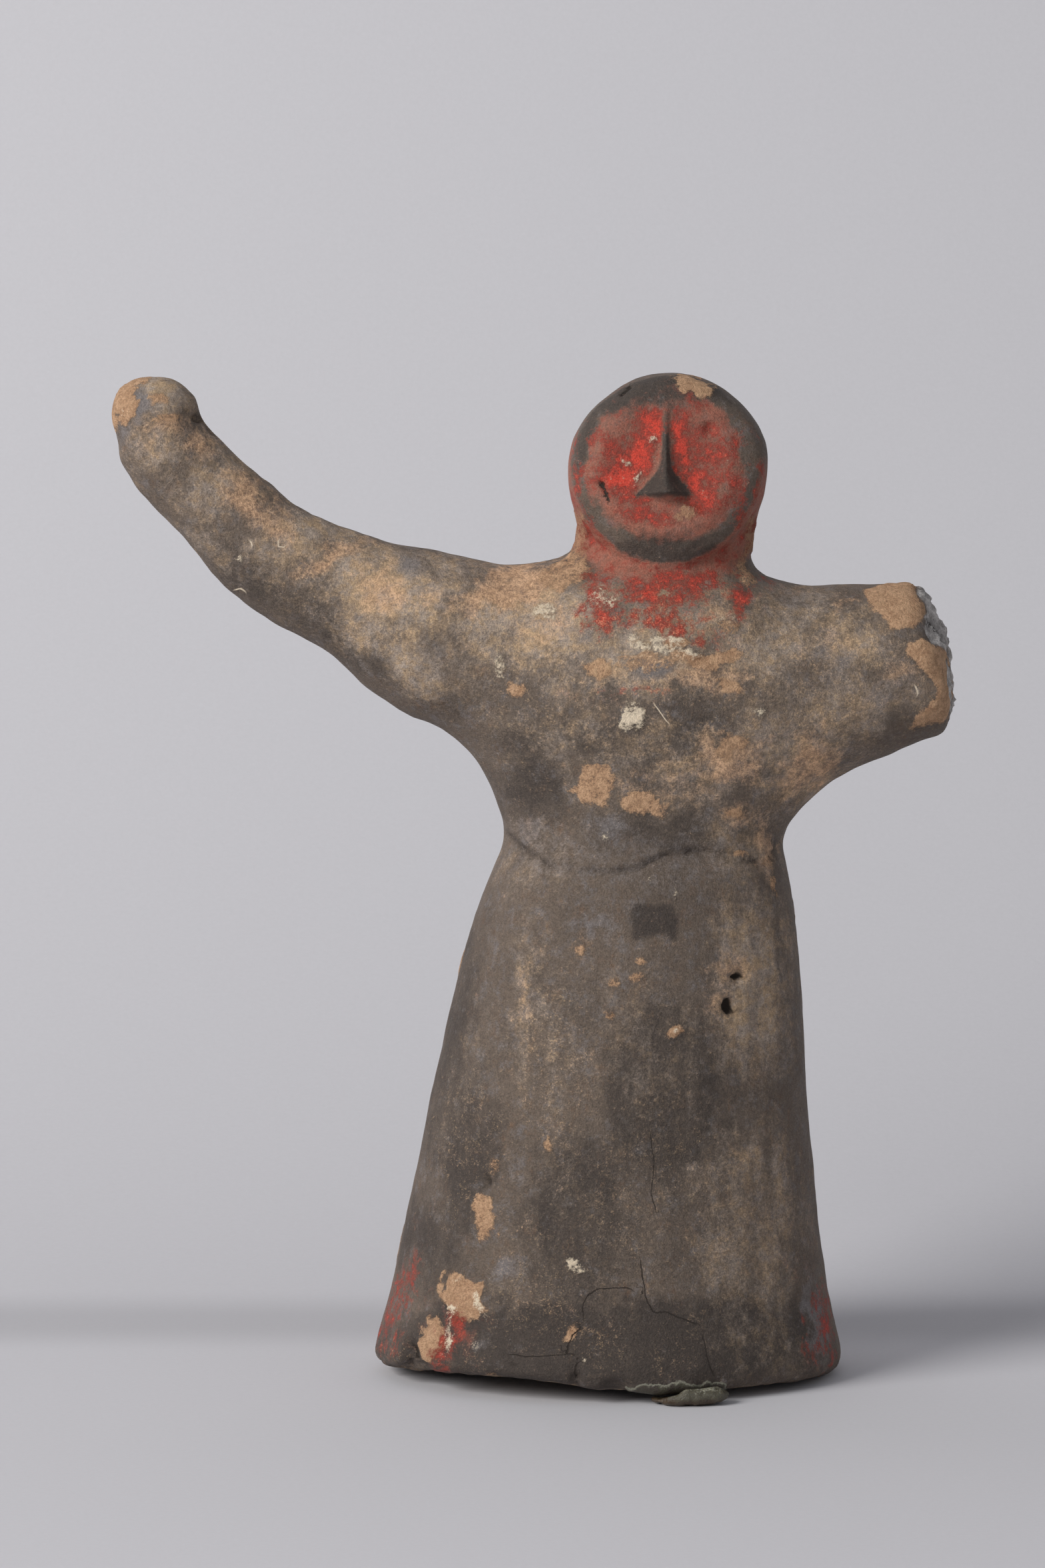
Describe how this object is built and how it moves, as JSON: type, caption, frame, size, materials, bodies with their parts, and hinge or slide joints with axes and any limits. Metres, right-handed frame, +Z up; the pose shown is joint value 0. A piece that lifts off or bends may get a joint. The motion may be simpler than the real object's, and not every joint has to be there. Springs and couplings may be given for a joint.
{
  "type": "painted pottery figurine",
  "caption": "Hand-modelled burnished pottery dancer in a flared skirt with a flat red-painted face, one raised arm and a broken arm stump, propped level on a dab of wax.",
  "frame": {"origin": "on the ground under the middle of the figure's outline", "axes": "+Z up the figure, -Y the way the face looks, +X towards the figure's left, where the arm is broken"},
  "size_m": [0.072, 0.032, 0.086],
  "materials": {
    "burnished_clay": "worn burnish with soil and red pigment, satin to matte",
    "mounting_wax": "soft translucent microcrystalline wax"
  },
  "bodies": {
    "root": {"figurine": "burnished_clay", "wax_prop": "mounting_wax"}
  },
  "joints": []
}
